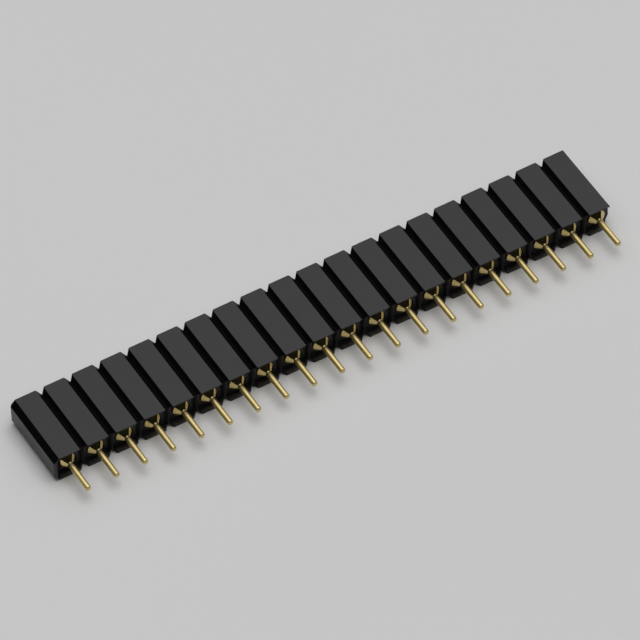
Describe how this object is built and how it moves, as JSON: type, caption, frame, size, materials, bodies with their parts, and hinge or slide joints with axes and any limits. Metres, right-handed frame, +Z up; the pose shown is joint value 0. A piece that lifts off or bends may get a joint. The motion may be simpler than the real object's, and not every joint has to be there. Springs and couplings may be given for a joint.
{
  "type": "female pin header strip",
  "caption": "Single-row black socket strip with V-grooved cells and turned gold contacts, each ending in a round solder tail; one end is snapped off.",
  "frame": {"origin": "centre of the underside of the bounding box, as the strip lies on a long side", "axes": "+X along the row, from the moulded end to the snapped end; +Y from the solder tails towards the socket side; +Z up from the long side it lies on"},
  "size_m": [0.0508, 0.01, 0.0025],
  "materials": {
    "housing": "moulded black thermoplastic, satin",
    "sleeve": "turned brass, gold plated",
    "clip": "spring copper alloy, gold plated"
  },
  "bodies": {
    "root": {"housing": "housing", "sleeve_01": "sleeve", "sleeve_02": "sleeve", "sleeve_03": "sleeve", "sleeve_04": "sleeve", "sleeve_05": "sleeve", "sleeve_06": "sleeve", "sleeve_07": "sleeve", "sleeve_08": "sleeve", "sleeve_09": "sleeve", "sleeve_10": "sleeve", "sleeve_11": "sleeve", "sleeve_12": "sleeve", "sleeve_13": "sleeve", "sleeve_14": "sleeve", "sleeve_15": "sleeve", "sleeve_16": "sleeve", "sleeve_17": "sleeve", "sleeve_18": "sleeve", "sleeve_19": "sleeve", "sleeve_20": "sleeve", "clip_01": "clip", "clip_02": "clip", "clip_03": "clip", "clip_04": "clip", "clip_05": "clip", "clip_06": "clip", "clip_07": "clip", "clip_08": "clip", "clip_09": "clip", "clip_10": "clip", "clip_11": "clip", "clip_12": "clip", "clip_13": "clip", "clip_14": "clip", "clip_15": "clip", "clip_16": "clip", "clip_17": "clip", "clip_18": "clip", "clip_19": "clip", "clip_20": "clip"}
  },
  "joints": []
}
